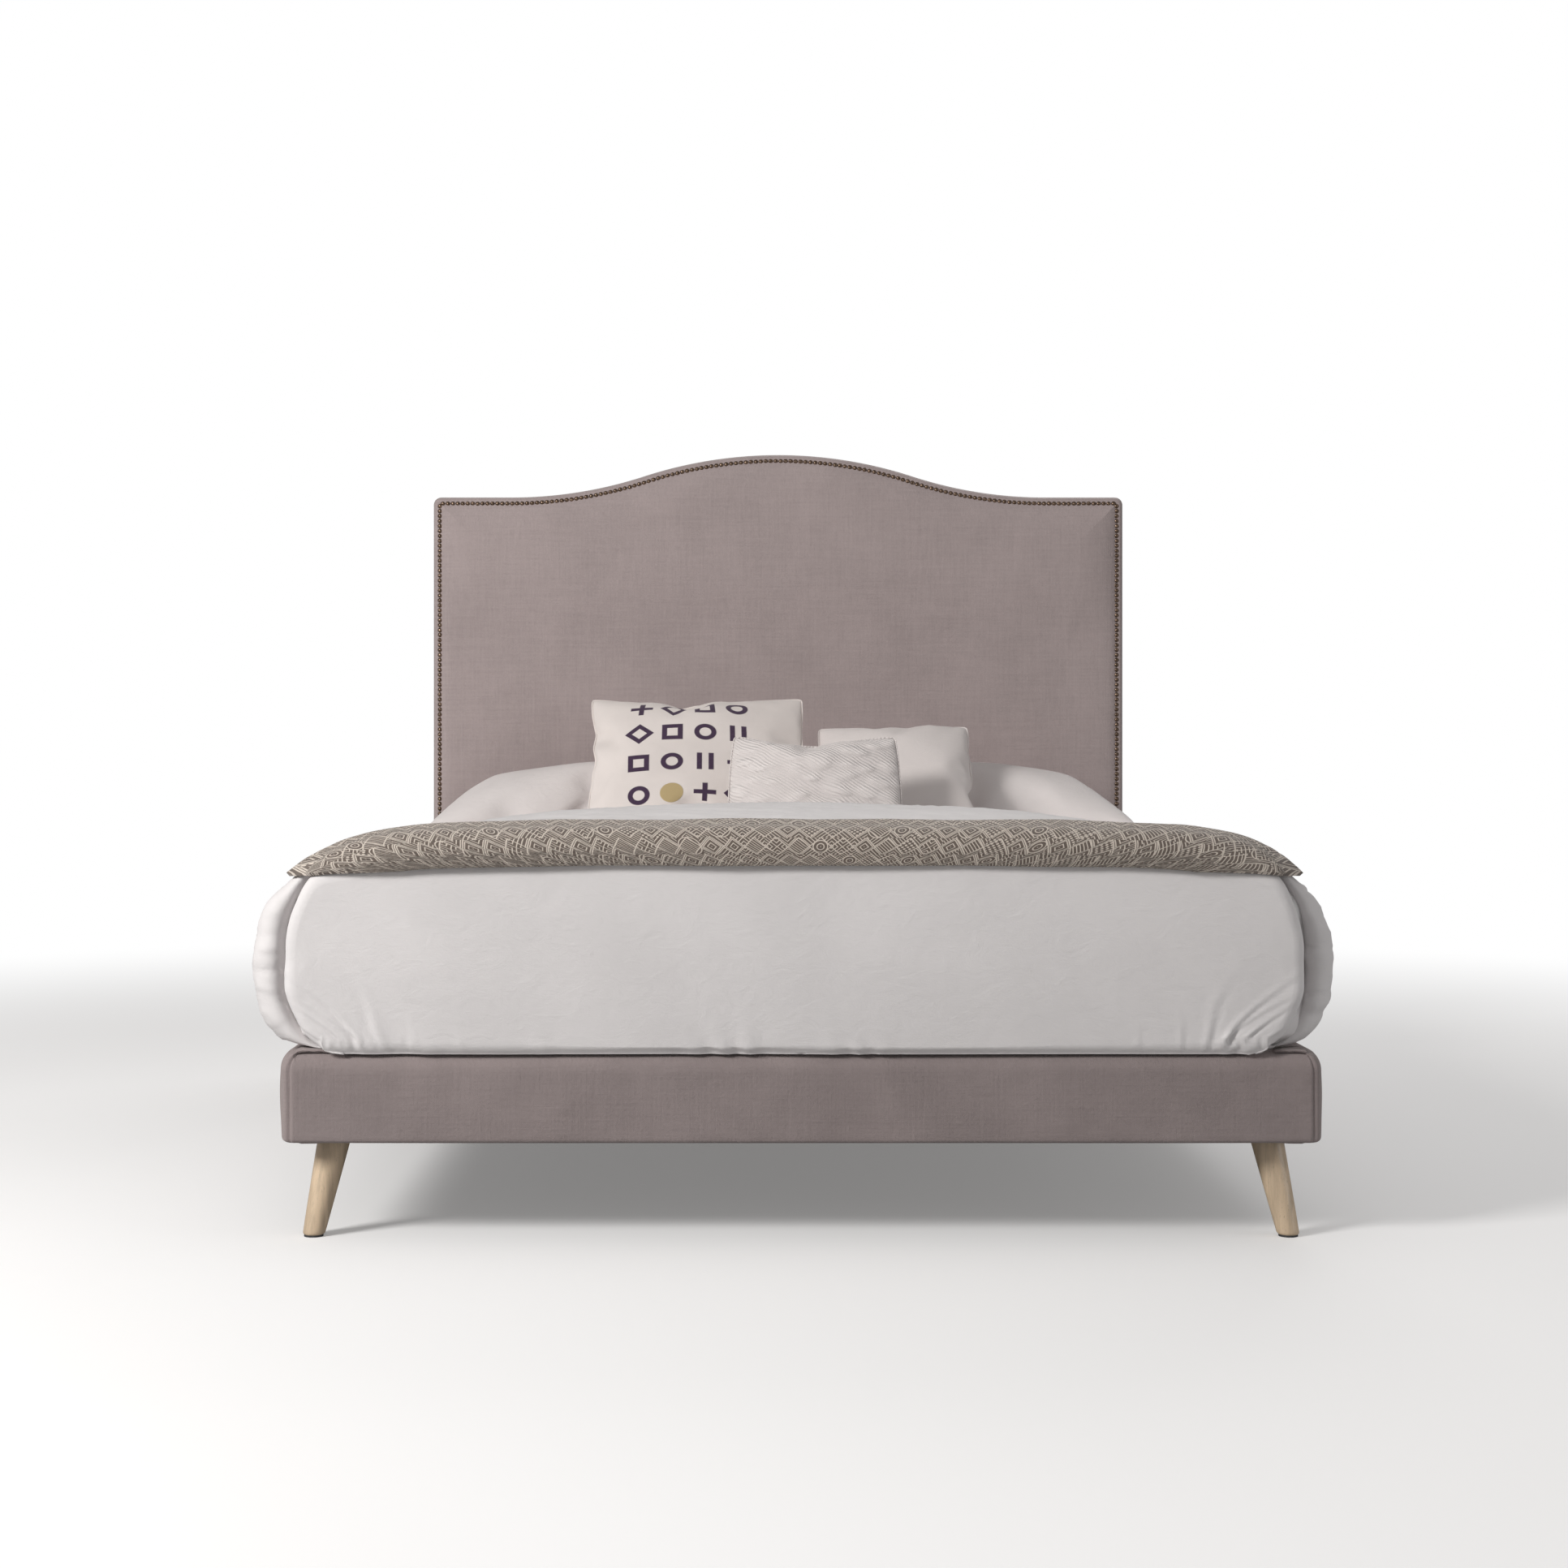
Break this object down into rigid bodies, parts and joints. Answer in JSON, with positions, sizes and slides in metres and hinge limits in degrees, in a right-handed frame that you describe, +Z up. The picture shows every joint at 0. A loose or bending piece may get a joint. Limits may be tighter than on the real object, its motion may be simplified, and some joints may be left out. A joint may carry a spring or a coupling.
{
  "type": "upholstered platform bed",
  "caption": "Double bed with a padded base on splayed wooden legs, a camelback headboard edged with nail heads, a mattress, a duvet, a throw, pillows and cushions.",
  "frame": {"origin": "on the floor, at the middle of the whole bed's length and width", "axes": "+Z up, +Y from the foot of the bed to its head, +X to the right seen from the foot"},
  "size_m": [1.712, 2.112, 1.44],
  "materials": {
    "beech": "clear satin lacquer on beech",
    "bronze_nail": "antique bronze, polished",
    "cream_linen": "printed linen, cream",
    "duvet_cotton": "percale cotton over a soft filling, white",
    "foam": "polyurethane foam, pale yellow",
    "glide": "moulded nylon",
    "lining": "black non-woven dust cloth",
    "pine": "planed softwood, unfinished",
    "plywood": "birch plywood, unfinished",
    "throw_weave": "jacquard weave, taupe and cream",
    "ticking": "quilted mattress ticking",
    "upholstery": "short-pile woven upholstery, taupe",
    "white_cotton": "percale cotton, white",
    "zinc_steel": "zinc plated"
  },
  "bodies": {
    "bed_frame": {"base_cover": "upholstery", "base_foam_foot": "foam", "base_foam_head": "foam", "base_foam_left": "foam", "base_foam_right": "foam", "centre_rail": "pine", "corner_block_foot_left": "pine", "corner_block_foot_right": "pine", "corner_block_head_left": "pine", "corner_block_head_right": "pine", "cross_slat_1": "pine", "cross_slat_2": "pine", "cross_slat_3": "pine", "cross_slat_4": "pine", "cross_slat_5": "pine", "deck_board_foot": "plywood", "deck_board_head": "plywood", "deck_cover": "upholstery", "deck_foam": "foam", "dust_cover": "lining", "foot_rail": "pine", "frame_screws": "zinc_steel", "head_rail": "pine", "headboard_back_cover": "lining", "headboard_bolts": "zinc_steel", "headboard_cover": "upholstery", "headboard_foam": "foam", "headboard_panel": "plywood", "headboard_post_left": "pine", "headboard_post_right": "pine", "headboard_screws": "zinc_steel", "headboard_t_nuts": "zinc_steel", "ledger_left": "pine", "ledger_right": "pine", "leg_bolts": "zinc_steel", "leg_centre": "beech", "leg_foot_left": "beech", "leg_foot_right": "beech", "leg_glides": "glide", "leg_head_left": "beech", "leg_head_right": "beech", "leg_t_nuts": "zinc_steel", "nail_trim": "bronze_nail", "post_glides": "glide", "side_rail_left": "pine", "side_rail_right": "pine"},
    "mattress_set": {"mattress_cover": "ticking", "mattress_core": "foam", "mattress_comfort_layer": "foam", "fitted_sheet": "white_cotton", "duvet": "duvet_cotton"},
    "pillow_left_body": {"pillow_left": "white_cotton"},
    "pillow_right_body": {"pillow_right": "white_cotton"},
    "cushion_large_body": {"cushion_large": "cream_linen"},
    "cushion_square_body": {"cushion_square": "white_cotton"},
    "cushion_small_body": {"cushion_small": "white_cotton"},
    "throw_body": {"throw": "throw_weave"}
  },
  "joints": [
    {"name": "mattress_lift", "type": "slide", "parent": "bed_frame", "child": "mattress_set", "axis": [0, 0, 1], "range_m": [0, 0.4]},
    {"name": "pillow_left_pull", "type": "slide", "parent": "mattress_set", "child": "pillow_left_body", "axis": [-1, 0, 0], "range_m": [0, 0.45]},
    {"name": "pillow_right_pull", "type": "slide", "parent": "mattress_set", "child": "pillow_right_body", "axis": [1, 0, 0], "range_m": [0, 0.45]},
    {"name": "cushion_large_lift", "type": "slide", "parent": "mattress_set", "child": "cushion_large_body", "axis": [0, 0, 1], "range_m": [0, 0.35]},
    {"name": "cushion_square_lift", "type": "slide", "parent": "mattress_set", "child": "cushion_square_body", "axis": [0, 0, 1], "range_m": [0, 0.35]},
    {"name": "cushion_small_lift", "type": "slide", "parent": "mattress_set", "child": "cushion_small_body", "axis": [0, 0, 1], "range_m": [0, 0.35]},
    {"name": "throw_lift", "type": "slide", "parent": "mattress_set", "child": "throw_body", "axis": [0, 0, 1], "range_m": [0, 0.25]}
  ]
}
